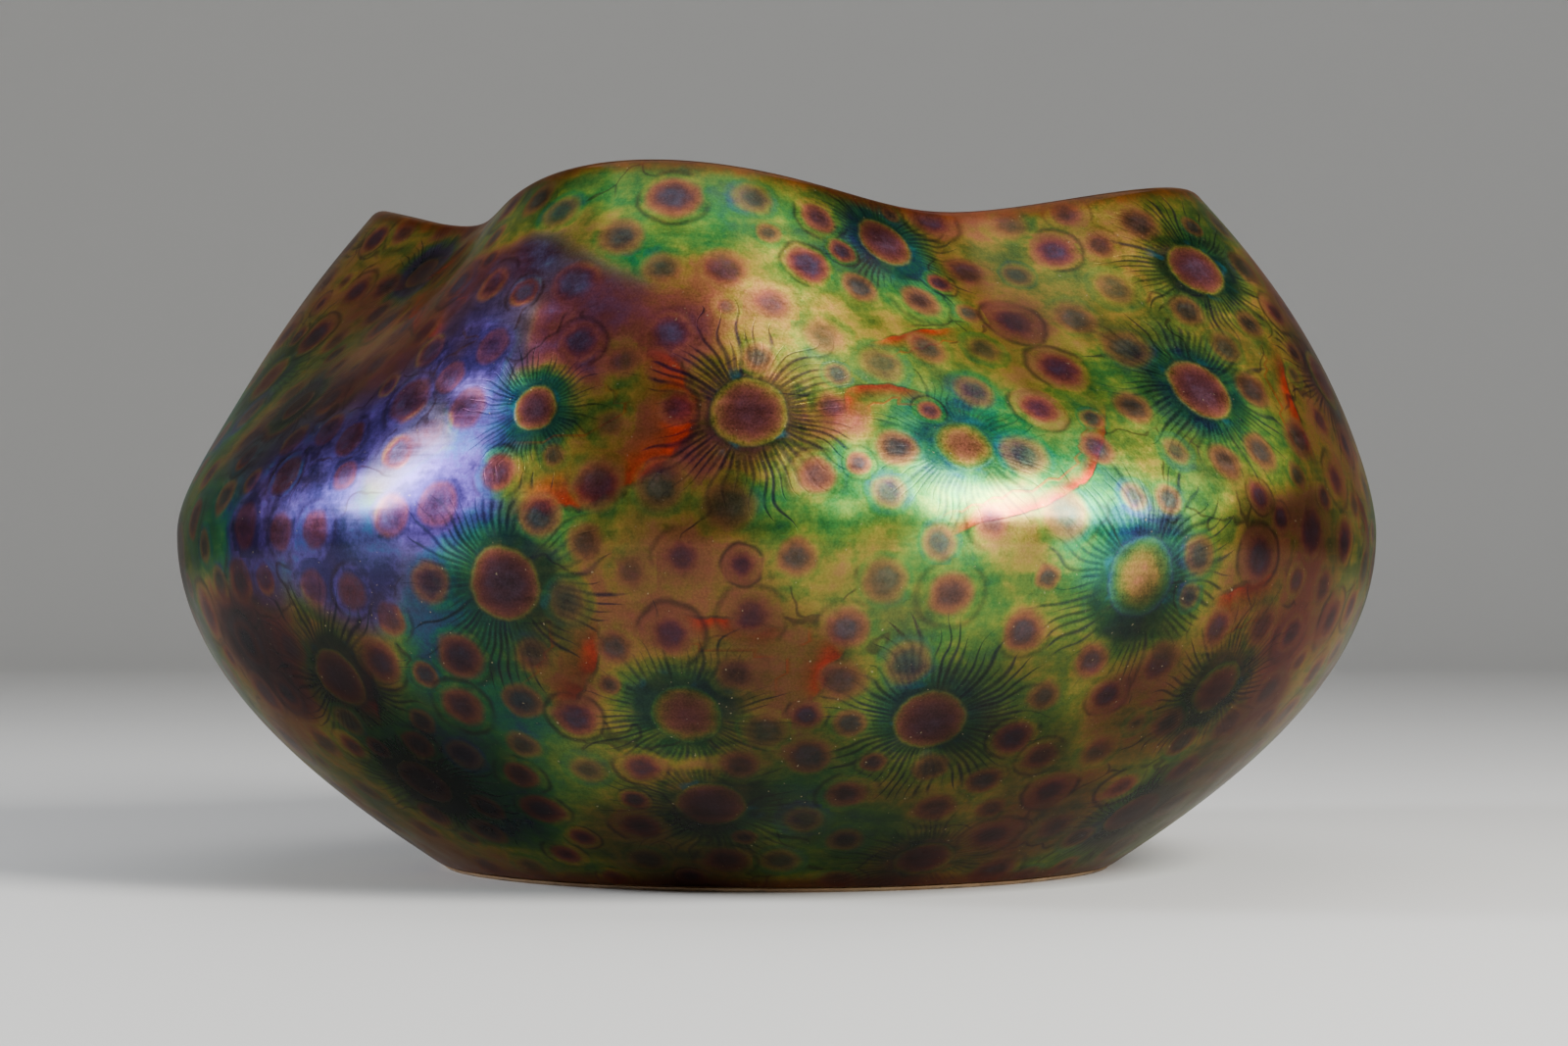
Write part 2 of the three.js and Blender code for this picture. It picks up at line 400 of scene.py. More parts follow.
def scatter_bursts(rng):
    """The bursts listed for the front, then more of the same over the rest of the bowl."""
    bursts = [(*wall_at(azimuth, height), *rest) for azimuth, height, *rest in BURSTS]
    for _ in range(900):
        azimuth, height = rng.uniform(96, 300), rng.uniform(8, 134)
        point, normal = wall_at(azimuth, height)
        if min(np.linalg.norm(point - other[0]) for other in bursts) > 37:
            tone = rng.choice((0.30, 0.34, 0.36, 0.40, 0.55))
            radius, strength = rng.uniform(5.2, 7.4), rng.uniform(0.7, 1.0)
            bursts.append((point, normal, radius, tone, strength, rng.choice((0.88, 0.84, 0.80, 0.72))))
    return bursts


def scatter_cells(rng, bursts):
    """Round cells all over, kept off each other and off the discs of the bursts. Large ones come first."""
    discs = np.array([burst[0] for burst in bursts])
    radii = np.array([burst[2] for burst in bursts])
    cells = []
    taken = np.empty((0, 3))
    room = np.empty(0)
    for attempt in range(6500):
        azimuth, share = rng.uniform(-180, 180), rng.uniform(0.01, 0.985)
        height = np.interp(share, wall_share, wall_outline[:, 1])
        radius = rng.uniform(5.2, 7.4) if attempt < 4200 else rng.uniform(3.6, 5.0)
        tone, outline = rng.random(), rng.random()
        point, normal = wall_at(azimuth, height)
        if np.any(np.linalg.norm(discs - point, axis=1) < radii * 1.3 + radius * 0.7):
            continue
        if len(taken) and np.any(np.linalg.norm(taken - point, axis=1) < room + radius * 0.84):
            continue
        cells.append((point, normal, radius, tone, outline, 0.0))
        taken = np.vstack([taken, point])
        room = np.append(room, radius * 0.84)
    return cells


def frames_of(marks):
    """Each mark's centre and its sideways and upward directions along the surface."""
    centres = np.array([mark[0] for mark in marks])
    normals = np.array([mark[1] for mark in marks])
    sideways = np.cross([0, 0, 1], normals)
    sideways /= np.linalg.norm(sideways, axis=1)[:, None]
    return centres, sideways, np.cross(normals, sideways)


def write_marks(mesh, name, marks, corners, face_of_corner, order, centres_of_faces):
    """Stores, at every face corner, where it lies from one of the face's nearest marks, in mark radii."""
    centres, sideways, upwards = frames_of(marks)
    radius = np.array([mark[2] for mark in marks])
    nearest = np.empty(len(centres_of_faces), int)
    for start in range(0, len(centres_of_faces), 4000):
        part = centres_of_faces[start : start + 4000]
        distance = np.linalg.norm(part[:, None] - centres[None], axis=2) / radius[None]
        nearest[start : start + 4000] = np.argsort(distance, axis=1)[:, order]
    mark = nearest[face_of_corner]
    offset = corners - centres[mark]
    local = np.stack(
        [
            (offset * sideways[mark]).sum(1) / radius[mark],
            (offset * upwards[mark]).sum(1) / radius[mark],
            mark.astype(float),
        ],
        axis=-1,
    )
    mesh.attributes.new(name, "FLOAT_VECTOR", "CORNER").data.foreach_set("vector", local.ravel())
    style = np.array([mark[3:6] for mark in marks])[nearest]
    mesh.attributes.new(name + "_style", "FLOAT_VECTOR", "FACE").data.foreach_set("vector", style.ravel())


def film_colour(film):
    """The colour of a film value, as linear red, green and blue."""
    colours = np.array([srgb(colour)[:3] for _, colour in FILM_COLOURS])
    return [np.interp(film, [place for place, _ in FILM_COLOURS], channel) for channel in colours.T]


def write_zones(mesh, points):
    """Stores the film value, the brightness with its painted shade and highlights, and the colour of the glaze at every
    vertex, blended from the zones about it, and how calm it is there, which is 0 where zones of very different film
    meet."""
    rng = random.Random(5)
    anchors, reaches, values = [], [], []
    for turn, sway in ((0, 0), (180, 1)):
        for azimuth, height, reach, film, brightness_and_painted_light in ZONES:
            azimuth += turn + sway * rng.uniform(-5, 5)
            height = min(max(height + sway * rng.uniform(-4, 4), 4), 132 if sway else 142)
            anchors.append(wall_at(azimuth, height)[0])
            reaches.append(reach)
            film += sway * rng.uniform(-0.04, 0.04)
            values.append((film, brightness_and_painted_light, *film_colour(film)))
    anchors, reaches, values = np.array(anchors), np.array(reaches), np.array(values)
    warped = points + 5.0 * np.array([noise.noise_vector(Vector(p) / 16) for p in points])
    rest = np.array([REST_FILM, REST_BRIGHTNESS_AND_PAINTED_LIGHT, *film_colour(REST_FILM)])
    blended = np.empty((len(points), 5))
    calm = np.empty(len(points))
    for start in range(0, len(points), 8000):
        part = warped[start : start + 8000]
        distance = np.linalg.norm(part[:, None] - anchors[None], axis=2) / reaches
        weight = np.exp(-1.3 * distance**2)
        total = weight.sum(1, keepdims=True) + 0.02
        blended[start : start + 8000] = (weight @ values + 0.02 * rest) / total
        variance = (weight @ values[:, 0] ** 2 + 0.02 * REST_FILM**2) / total[:, 0]
        variance -= blended[start : start + 8000, 0] ** 2
        calm[start : start + 8000] = np.clip((0.32 - np.sqrt(np.maximum(variance, 0))) / 0.16, 0, 1)
    mesh.attributes.new("film", "FLOAT", "POINT").data.foreach_set("value", blended[:, 0])
    mesh.attributes.new("brightness_and_painted_light", "FLOAT", "POINT").data.foreach_set("value", blended[:, 1])
    mesh.attributes.new("calm", "FLOAT", "POINT").data.foreach_set("value", calm)
    ground = np.column_stack([blended[:, 2:], np.ones(len(points))])
    mesh.attributes.new("ground", "FLOAT_COLOR", "POINT").data.foreach_set("color", ground.ravel())


def write_veins(mesh, points):
    """Stores how far every vertex is from the nearest vein, in its half widths and signed by side, and
    how strong the vein is there."""
    best = np.full(len(points), 3.0)
    side = np.ones(len(points))
    strength = np.zeros(len(points))
    for width, way in VEINS:
        nodes = np.array([wall_at(azimuth, height)[0] for azimuth, height in way])
        ups = np.array([wall_at(azimuth, height)[1] for azimuth, height in way])
        near = np.linalg.norm(points - nodes.mean(0), axis=1) < 60
        for k in range(len(nodes) - 1):
            start, step = nodes[k], nodes[k + 1] - nodes[k]
            offset = points[near] - start
            share = np.clip(offset @ step / (step @ step), 0, 1)
            gap = offset - share[:, None] * step
            distance = np.linalg.norm(gap, axis=1) / width
            turn = np.sign(np.cross(step, gap) @ ups[k])
            place = (k + share) / (len(nodes) - 1)
            better = distance < best[near]
            chosen = np.flatnonzero(near)[better]
            best[chosen] = distance[better]
            side[chosen] = turn[better]
            strength[chosen] = np.clip(4.5 * np.minimum(place, 1 - place), 0, 1)[better]
    mesh.attributes.new("vein", "FLOAT", "POINT").data.foreach_set("value", best * side)
    mesh.attributes.new("vein_strength", "FLOAT", "POINT").data.foreach_set("value", strength)


def paint_outer_glaze(piece):
    mesh = piece.data
    rng = random.Random(11)
    bursts = scatter_bursts(rng)
    cells = scatter_cells(rng, bursts)
    points = np.empty(len(mesh.vertices) * 3)
    mesh.vertices.foreach_get("co", points)
    points = points.reshape(-1, 3) / MM
    loops = np.empty(len(mesh.loops), int)
    mesh.loops.foreach_get("vertex_index", loops)
    centres = np.empty(len(mesh.polygons) * 3)
    mesh.polygons.foreach_get("center", centres)
    centres = centres.reshape(-1, 3) / MM
    face_of_corner = np.repeat(np.arange(len(mesh.polygons)), [len(p.vertices) for p in mesh.polygons])
    corners = points[loops]
    write_marks(mesh, "burst", bursts, corners, face_of_corner, 0, centres)
    write_marks(mesh, "cell_a", cells, corners, face_of_corner, 0, centres)
    write_marks(mesh, "cell_b", cells, corners, face_of_corner, 1, centres)
    write_zones(mesh, points)
    write_veins(mesh, points)
    centres_of_bursts = np.array([burst[0] for burst in bursts])
    two = np.empty((len(points), 2))
    for start in range(0, len(points), 8000):
        part = points[start : start + 8000]
        two[start : start + 8000] = np.sort(np.linalg.norm(part[:, None] - centres_of_bursts, axis=2), axis=1)[:, :2]
    mesh.attributes.new("burst_lead", "FLOAT", "POINT").data.foreach_set("value", two[:, 1] - two[:, 0])
    print("bursts", len(bursts), "cells", len(cells), "faces", len(mesh.polygons))


# ---------------------------------------------------------------- shader helpers


class Wire:
    """A number or colour carried between shader nodes, so that sums are written as sums."""

    def __init__(self, tree, socket):
        self.tree = tree
        self.socket = socket

    def math(self, operation, *inputs):
        node = self.tree.nodes.new("ShaderNodeMath")
        node.operation = operation
        for place, value in enumerate(inputs):
            plug(self.tree, value, node.inputs[place])
        return Wire(self.tree, node.outputs[0])

    def __add__(self, other):
        return self.math("ADD", self, other)

    def __sub__(self, other):
        return self.math("SUBTRACT", self, other)

    def __rsub__(self, other):
        return self.math("SUBTRACT", other, self)

    def __mul__(self, other):
        return self.math("MULTIPLY", self, other)

    def __truediv__(self, other):
        return self.math("DIVIDE", self, other)

    __radd__ = __add__
    __rmul__ = __mul__

    def call(self, operation, *others):
        return self.math(operation, self, *others)


def plug(tree, value, socket):
    if isinstance(value, Wire):
        tree.links.new(value.socket, socket)
    else:
        socket.default_value = value


class Shader:
    """A material under construction, with short calls for the nodes that it is made of."""

    def __init__(self, name):
        self.material = bpy.data.materials.new(name)
        self.material.use_nodes = True
        self.tree = self.material.node_tree
        self.surface = self.tree.nodes["Principled BSDF"]

    def node(self, kind, output=0, settings=None, **inputs):
        node = self.tree.nodes.new(kind)
        for key, value in (settings or {}).items():
            setattr(node, key, value)
        for key, value in inputs.items():
            plug(self.tree, value, node.inputs[key.replace("_", " ")])
        return Wire(self.tree, node.outputs[output])

    def attribute(self, name, output="Fac"):
        return self.node("ShaderNodeAttribute", output, {"attribute_name": name})

    def position(self):
        """The place on the bowl in millimetres."""
        place = self.node("ShaderNodeNewGeometry", "Position")
        scaled = self.tree.nodes.new("ShaderNodeVectorMath")
        scaled.operation = "SCALE"
        plug(self.tree, place, scaled.inputs[0])
        scaled.inputs["Scale"].default_value = 1 / MM
        return Wire(self.tree, scaled.outputs[0])

    def vector_math(self, operation, *inputs, output=0, scale=None):
        node = self.tree.nodes.new("ShaderNodeVectorMath")
        node.operation = operation
        for place, value in enumerate(inputs):
            plug(self.tree, value, node.inputs[place])
        if scale is not None:
            plug(self.tree, scale, node.inputs["Scale"])
        return Wire(self.tree, node.outputs[output])

    def split(self, vector):
        node = self.tree.nodes.new("ShaderNodeSeparateXYZ")
        plug(self.tree, vector, node.inputs[0])
        return [Wire(self.tree, output) for output in node.outputs]

    def join(self, x, y, z):
        return self.node("ShaderNodeCombineXYZ", X=x, Y=y, Z=z)

    def noise(self, vector, size, detail=2.0, roughness=0.5, distortion=0.0):
        """Noise from 0 to 1 with features about as large as size."""
        return self.node(
            "ShaderNodeTexNoise",
            "Fac",
            Vector=vector,
            Scale=1 / size,
            Detail=detail,
            Roughness=roughness,
            Distortion=distortion,
        )

    def fade(self, low, high, value, to_low=0.0, to_high=1.0):
        """A smooth step: to_low up to low, and to_high from high on."""
        return self.node(
            "ShaderNodeMapRange",
            0,
            {"interpolation_type": "SMOOTHSTEP"},
            Value=value,
            From_Min=low,
            From_Max=high,
            To_Min=to_low,
            To_Max=to_high,
        )

    def mix(self, share, one, other):
        """A number between one and other."""
        node = self.tree.nodes.new("ShaderNodeMix")
        plug(self.tree, share, node.inputs[0])
        plug(self.tree, one, node.inputs[2])
        plug(self.tree, other, node.inputs[3])
        return Wire(self.tree, node.outputs[0])

    def blend(self, share, one, other, mode="MIX"):
        """A colour between one and other."""
        node = self.tree.nodes.new("ShaderNodeMix")
        node.data_type = "RGBA"
        node.blend_type = mode
        plug(self.tree, share, node.inputs[0])
        plug(self.tree, one, node.inputs[6])
        plug(self.tree, other, node.inputs[7])
        return Wire(self.tree, node.outputs[2])

    def ramp(self, value, stops):
        """A colour read off a list of (place, sRGB hex) stops."""
        node = self.tree.nodes.new("ShaderNodeValToRGB")
        elements = node.color_ramp.elements
        while len(elements) < len(stops):
            elements.new(0.5)
        for element, (place, colour) in zip(elements, stops):
            element.position = place
            element.color = srgb(colour)
        plug(self.tree, value, node.inputs[0])
        return Wire(self.tree, node.outputs[0])

    def bump(self, height, distance, strength=1.0, normal=None):
        node = self.tree.nodes.new("ShaderNodeBump")
        node.inputs["Strength"].default_value = strength
        node.inputs["Distance"].default_value = distance * MM
        plug(self.tree, height, node.inputs["Height"])
        if normal is not None:
            plug(self.tree, normal, node.inputs["Normal"])
        return Wire(self.tree, node.outputs[0])


def srgb(text):
    """A colour written as six hex digits, as the linear values that shaders use."""
    channels = [int(text[i : i + 2], 16) / 255 for i in (0, 2, 4)]
    linear = [c / 12.92 if c <= 0.04045 else ((c + 0.055) / 1.055) ** 2.4 for c in channels]
    return (*linear, 1.0)


# ---------------------------------------------------------------- materials

# What colour the lustre shows for the thickness of its film, in the order that thin films run through.
FILM_COLOURS = [
    (0.00, "302866"),
    (0.09, "6450a4"),
    (0.18, "3462a0"),
    (0.27, "108a70"),
    (0.36, "2c9244"),
    (0.45, "7e9c34"),
    (0.53, "b89c3a"),
    (0.60, "b47a46"),
    (0.67, "a65e44"),
    (0.74, "8a4644"),
    (0.81, "6e3a4c"),
    (0.88, "5c4664"),
    (0.95, "56567a"),
    (1.00, "5a7886"),
]

# How much of a pale violet veil, a painted reflection of the studio, lies over the film everywhere.
PAINTED_REFLECTION_VEIL = 0.055


def make_cell(shader, ground, name):
    """The cell whose place is in an attribute: its spot as a mask and film value, its inside and outline
    as masks, how pale it is, and how dark its middle is."""
    x, y, number = shader.split(shader.attribute(name, "Vector"))
    tone, outline, _ = shader.split(shader.attribute(name + "_style", "Vector"))
    flat = shader.join(x, y, number * 3.7)
    wobble = (shader.noise(flat, 1.0, detail=2.0) - 0.5) * 0.36
    mottle = (shader.noise(flat, 0.22, detail=1.0) - 0.5) * 0.12
    distance = shader.vector_math("LENGTH", shader.join(x, y, 0.0), output="Value") + wobble
    size = 0.43 + tone * 0.19
    core = (tone * 0.10 + 0.78).call("MAXIMUM", ground + 0.12).call("MINIMUM", 0.92)
    rim = 0.54 + outline * 0.11 + shader.fade(0.32, 0.14, ground, 0.0, 0.20)
    rim = rim.call("MAXIMUM", ground - 0.08).call("MINIMUM", 0.84)
    film = shader.mix(shader.fade(size + 0.14, size * 0.35, distance), rim, core) + mottle
    deep = shader.fade(size, 0.0, distance)
    spot = shader.fade(size + 0.30, size + 0.03, distance) * (0.54 + outline * 0.44)
    inside = shader.fade(1.04, 0.84, distance)
    line = shader.fade(0.16, 0.0, (distance - 0.97).call("ABSOLUTE"))
    line = line * shader.fade(0.40, 0.9, outline) * shader.fade(0.36, 0.6, shader.noise(flat, 1.3, detail=0.0))
    return spot, film, inside, line, outline, deep * spot


def make_rays(shader):
    """The nearest burst: its rays, dark collar, disc and glow as masks, and the film values of its disc and
    its glow."""
    x, y, number = shader.split(shader.attribute("burst", "Vector"))
    tone, strength, middle = shader.split(shader.attribute("burst_style", "Vector"))
    lead = shader.attribute("burst_lead")
    flat = shader.join(x, y, number * 5.3)
    uneven = shader.noise(flat, 1.5, detail=1.0) - 0.5
    bend = shader.noise(flat, 1.5, detail=0.5) - 0.5
    distance = shader.vector_math("LENGTH", shader.join(x, y, 0.0), output="Value")
    beyond = (distance - 1.0).call("MAXIMUM", 0.0)
    count = 58.0
    turn = 2 * math.pi / count
    phase = (y.call("ARCTAN2", x) + bend * (0.30 + beyond * 0.08)) / turn
    ray = phase.call("FLOOR")
    gap = (phase - ray - 0.5).call("ABSOLUTE") * distance * turn
    chance = shader.node("ShaderNodeTexWhiteNoise", "Value", Vector=shader.join(ray, number, 1.0))
    other = shader.node("ShaderNodeTexWhiteNoise", "Value", Vector=shader.join(number, ray, 4.0))
    length = 2.5 + chance * 1.5 + uneven * 1.8
    taper = shader.fade(0.0, 1.4, length - distance)
    width = (0.032 + other * 0.034 + shader.fade(2.0, 1.0, distance) * 0.020) * taper
    thin = shader.fade(width * 2.0, width * 0.2, gap) * (0.55 + chance * 0.4)
    reach = shader.fade(0.0, 0.4, length - distance) * shader.fade(0.5, 5.0, lead)
    wavy = distance + uneven * 0.26 + (shader.noise(flat, 0.3, detail=1.0) - 0.5) * 0.10
    outside = shader.fade(0.98, 1.07, wavy)
    side = shader.noise(flat, 2.4, detail=0.0)
    collar = shader.fade(1.55, 0.95, distance + uneven * 0.7 - shader.fade(0.45, 0.75, side, 0.0, 0.5)) * 0.85
    rays = (thin * reach).call("MAXIMUM", collar) * outside * strength
    disc = shader.fade(1.14, 0.90, wavy)
    glow = shader.fade(2.9, 1.2, distance + uneven * 1.0) * shader.fade(0.0, 6.0, lead)
    disc_film = middle - wavy.call("POWER", 2.6) * 0.33
    return rays, collar * outside, disc, glow, disc_film, tone


def add_vein(shader, colour, wander):
    """The colour once the red veins are laid over it."""
    vein = shader.attribute("vein") + wander
    strength = shader.attribute("vein_strength") * shader.fade(0.28, 0.44, shader.noise(shader.position(), 8), 0.5, 1.0)
    band = shader.fade(1.10, 0.70, vein) * shader.fade(-2.9, 0.4, vein) * strength
    edge = shader.fade(0.30, 0.08, (vein - 1.0).call("ABSOLUTE")) * strength
    browner = shader.fade(0.48, 0.66, shader.noise(shader.position(), 13, detail=1.0))
    hot = shader.blend(browner, srgb("dc440c"), srgb("9a3e1a"))
    hot = shader.blend(shader.fade(-1.4, 0.6, vein), srgb("a8601e"), hot)
    colour = shader.blend(band * 0.95, colour, hot)
    return shader.blend(edge * 0.5, colour, srgb("3a1410")), band


def lustre_material():
    shader = Shader("lustre_glaze_material")
    place = shader.position()
    broad = shader.noise(place, 19, detail=4.0, distortion=0.9) - 0.5
    fine = shader.noise(place, 4.5, detail=4.0) - 0.5
    small = shader.noise(place, 1.4, detail=2.0) - 0.5
    grain = shader.noise(place, 0.42, detail=2.0) - 0.5
    warp = shader.node("ShaderNodeTexNoise", "Color", Vector=place, Scale=1 / 12, Detail=2.0)
    warped = shader.vector_math("ADD", place, shader.vector_math("SCALE", warp, scale=15.0))
    x, y, z = shader.split(place)
    streak = shader.noise(shader.join(x * 0.05, y * 0.05, z), 1.6, detail=2.5) - 0.5

    # Patches where the glaze ran and stopped, each a slightly different thickness.
    patch = shader.node("ShaderNodeTexVoronoi", "Color", {"feature": "SMOOTH_F1"}, Vector=warped, Scale=1 / 22)
    edge = shader.node(
        "ShaderNodeTexVoronoi", "Distance", {"feature": "DISTANCE_TO_EDGE"}, Vector=warped, Scale=1 / 22
    )
    run = shader.split(patch)[0] - 0.5
    local = broad * 0.34 + fine * 0.26 + small * 0.12 + streak * 0.10 + run * 0.26
    some = shader.fade(0.50, 0.60, shader.noise(place, 30, detail=1.0))
    seam = shader.fade(0.022, 0.004, edge) * some

    # The ground, greener and darker towards a burst.
    zone = shader.attribute("film")
    rays, collar, disc, glow, disc_film, tone = make_rays(shader)
    spot_a, film_a, inside_a, line_a, pale, deep_a = make_cell(shader, zone, "cell_a")
    spot_b, film_b, inside_b, line_b, _, deep_b = make_cell(shader, zone, "cell_b")
    cell = inside_a.call("MAXIMUM", inside_b)
    film = shader.mix(glow * 0.85, zone, tone) + local + inside_a * (pale - 0.5) * 0.18
    ground = shader.attribute("ground", "Color")
    share = (glow * 0.9).call("MAXIMUM", shader.attribute("calm") * 0.72)
    colour = shader.blend(share, ground, shader.ramp(film, FILM_COLOURS))
    colour, band = add_vein(shader, colour, fine * 1.6)

    # Spots over the ground, with a dark outline round some of their cells.
    for spot, spot_film in ((spot_b, film_b), (spot_a, film_a)):
        laid = shader.blend(0.12, shader.ramp(spot_film + fine * 0.14, FILM_COLOURS), srgb("64463c"))
        colour = shader.blend(spot, colour, laid)
    line = line_a.call("MAXIMUM", line_b)
    colour = shader.blend(line * 0.60, colour, srgb("2c1c1c"))
    colour = shader.blend(seam * (1.0 - cell) * 0.55, colour, srgb("3a201c"))

    # Rays, collar and disc of the nearest burst.
    hidden = (cell * 0.45).call("MAXIMUM", spot_a.call("MAXIMUM", spot_b))
    green_black = shader.blend(shader.fade(0.44, 0.52, tone), srgb("0a2a22"), srgb("1c1026"))
    dark = shader.blend(shader.fade(0.45, 0.6, shader.noise(place, 6, detail=1.0)), green_black, srgb("10123a"))
    colour = shader.blend(rays * (1.0 - hidden) * 0.88, colour, dark)
    flash = shader.fade(0.60, 0.72, shader.noise(place, 5, detail=1.0)) * collar * (1.0 - hidden)
    colour = shader.blend(flash * 0.8, colour, srgb("147c8c"))
    disc_colour = shader.ramp(disc_film + fine * 0.16 + small * 0.10, FILM_COLOURS)
    colour = shader.blend(disc, colour, shader.blend(0.35, disc_colour, srgb("6a4a38")))

    # Brown where the film wore or fired thin: in broad clouds, at the lip and along the foot.
    up = shader.attribute("up_wall") + fine * 4.0
    lip = shader.fade(wall_length - 3.0, wall_length + 0.5, up)
    foot = shader.fade(6.0, 1.5, up)
    worn = shader.fade(0.50, 0.80, shader.noise(place, 17, detail=4.0)) * 0.5
    colour = shader.blend(worn, colour, srgb("6e4c30"))
    # A pale violet veil over all of it: painted reflection.
    colour = shader.blend(PAINTED_REFLECTION_VEIL, colour, srgb("8a78a0"))
    colour = shader.blend(lip.call("MAXIMUM", foot) * 0.8, colour, srgb("8e4a20"))

    # Fine speckle, streaks left by the turning wheel, and each zone's brightness, which holds painted shade low
    # on the bowl and painted highlights where the softboxes show in the glaze.
    value = 1.0 + grain * 0.7 + streak * 0.5 + fine * 0.7 + small * 0.4 + broad * 0.7 - glow * 0.25 - disc * 0.12
    value = value - deep_a.call("MAXIMUM", deep_b) * 0.24
    value = shader.attribute("brightness_and_painted_light") * value * 1.15
    colour = shader.blend(1.0, colour, shade_colour(shader, value), "MULTIPLY")
    colour = shader.node("ShaderNodeGamma", Color=colour, Gamma=1.1)
    # Pale flecks: painted glints, and specks of dust.
    fleck = shader.fade(0.75, 0.81, shader.noise(place, 0.9, detail=1.0))
    colour = shader.blend(fleck * 0.30, colour, srgb("c0b08a"))

    plug(shader.tree, colour, shader.surface.inputs["Base Color"])
    roughness = 0.35 + fine * 0.16 + disc * 0.05 + grain * 0.10 + lip * 0.06
    plug(shader.tree, roughness, shader.surface.inputs["Roughness"])
    shader.surface.inputs["Metallic"].default_value = 0.93
    shader.surface.inputs["Specular Tint"].default_value = (0.42, 0.36, 0.28, 1)
    shader.surface.inputs["Coat Weight"].default_value = 0.2
    shader.surface.inputs["Coat Roughness"].default_value = 0.12
    relief = fine * 0.5 + disc * 0.20 + cell * 0.12 - rays * 0.16 + band * 0.2 + streak * 0.35
    rolling = shader.bump(shader.noise(shader.join(x, y, z * 1.6), 17, detail=1.0), 0.9)
    plug(shader.tree, shader.bump(relief, 0.10, normal=rolling), shader.surface.inputs["Normal"])
    return shader.material


def shade_colour(shader, value):
    return shader.node("ShaderNodeCombineColor", Red=value, Green=value, Blue=value)


def lining_material():
    """The inside: amber lustre at the lip, deeper and browner down to a pool of dark glaze on the floor."""
    shader = Shader("lining_glaze_material")
    place = shader.position()
    x, y, z = shader.split(place)
    radius = shader.vector_math("LENGTH", shader.join(x, y, 0.0), output="Value")
    broad = shader.noise(place, 20, detail=4.0, distortion=1.2) - 0.5
    fine = shader.noise(place, 3.5, detail=4.0) - 0.5
    grain = shader.noise(place, 0.5, detail=2.0) - 0.5
    runs = shader.noise(shader.join(x * 0.35, y * 0.35, z * 0.07), 3.0, detail=3.0) - 0.5

    # Ridges left by the fingers: level rings up the wall and a spiral over the floor.
    angle = y.call("ARCTAN2", x)
    floor = shader.fade(FLOOR_RADIUS + 16, FLOOR_RADIUS - 4, radius) * shader.fade(30, 18, z)
    ring = (z * (2 * math.pi / 9) + angle + broad * 3.0).call("SINE")
    spiral = (radius * (2 * math.pi / 11) + angle + broad * 2.0).call("SINE")
    ridge = shader.mix(floor, ring, spiral) * 0.5 + 0.5

    height = shader.fade(20, RIM_HEIGHT, z + broad * 26)
    film = 0.74 - height * 0.16 + broad * 0.34 + runs * 0.22 + fine * 0.12 + ridge * 0.04
    lustre = shader.ramp(film, FILM_COLOURS)
    amber = shader.ramp(height + fine * 0.25, [(0.0, "5a3218"), (0.4, "8e5220"), (0.75, "b8742a"), (1.0, "d89038")])
    colour = shader.blend(0.66 + runs * 0.6, lustre, amber)
    fleck = shader.node("ShaderNodeTexVoronoi", "Distance", Vector=place, Scale=1 / 9, Randomness=1.0)
    drop = shader.fade(0.30, 0.12, fleck + fine * 0.25)
    colour = shader.blend(drop * 0.35, colour, srgb("4a2418"))
    craze = shader.node(
        "ShaderNodeTexVoronoi", "Distance", {"feature": "DISTANCE_TO_EDGE"}, Vector=place, Scale=1 / 6
    )
    crack = shader.fade(0.03, 0.008, craze) * shader.fade(0.50, 0.64, shader.noise(place, 24, detail=1.0))
    colour = shader.blend(crack * 0.35, colour, srgb("26140c"))
    value = 1.0 + grain * 0.5 + fine * 0.4 + ridge * 0.10 - floor * 0.12
    colour = shader.blend(1.0, colour, shade_colour(shader, value), "MULTIPLY")

    plug(shader.tree, colour, shader.surface.inputs["Base Color"])
    roughness = 0.26 + fine * 0.14 + drop * 0.06 + grain * 0.06
    plug(shader.tree, roughness, shader.surface.inputs["Roughness"])
    shader.surface.inputs["Metallic"].default_value = 0.55
    shader.surface.inputs["Coat Weight"].default_value = 0.4
    shader.surface.inputs["Coat Roughness"].default_value = 0.1
    ridges = shader.bump(ridge + broad * 2.0, 0.24)
    relief = fine * 0.6 - crack * 0.3 + drop * 0.25
    plug(shader.tree, shader.bump(relief, 0.10, normal=ridges), shader.surface.inputs["Normal"])
    return shader.material


def clay_material(name, wear):
    """Bare fired clay: buff, gritty and toasted in places. Wear greys the parts that touch the table."""
    shader = Shader(name)
    place = shader.position()
    x, y, z = shader.split(place)
    broad = shader.noise(place, 16, detail=4.0) - 0.5
    grit = shader.noise(place, 0.7, detail=3.0) - 0.5
    colour = shader.ramp(broad + 0.5, [(0.25, "a8805a"), (0.5, "c2a078"), (0.75, "d2b68e")])
    bits = shader.node("ShaderNodeTexVoronoi", "Distance", Vector=place, Scale=1 / 2.4, Randomness=1.0)
    iron = shader.fade(0.20, 0.10, bits + grit * 0.2)
    colour = shader.blend(iron * 0.6, colour, srgb("5c3a26"))
    turning = shader.noise(shader.join(x * 0.04, y * 0.04, z), 0.8, detail=2.0) - 0.5
    rub = shader.fade(0.9, 0.1, z + broad * 0.8) * wear
    soil = shader.fade(0.45, 0.65, shader.noise(place, 7, detail=3.0))
    colour = shader.blend(rub * (0.35 + soil * 0.4), colour, srgb("6e6152"))
    value = 1.0 + grit * 0.5 + turning * 0.3
    colour = shader.blend(1.0, colour, shade_colour(shader, value), "MULTIPLY")
    plug(shader.tree, colour, shader.surface.inputs["Base Color"])
    plug(shader.tree, 0.86 + grit * 0.2 - rub * 0.22, shader.surface.inputs["Roughness"])
    relief = grit * 0.7 + turning * 0.4 - iron * 0.5
    plug(shader.tree, shader.bump(relief, 0.16), shader.surface.inputs["Normal"])
    return shader.material


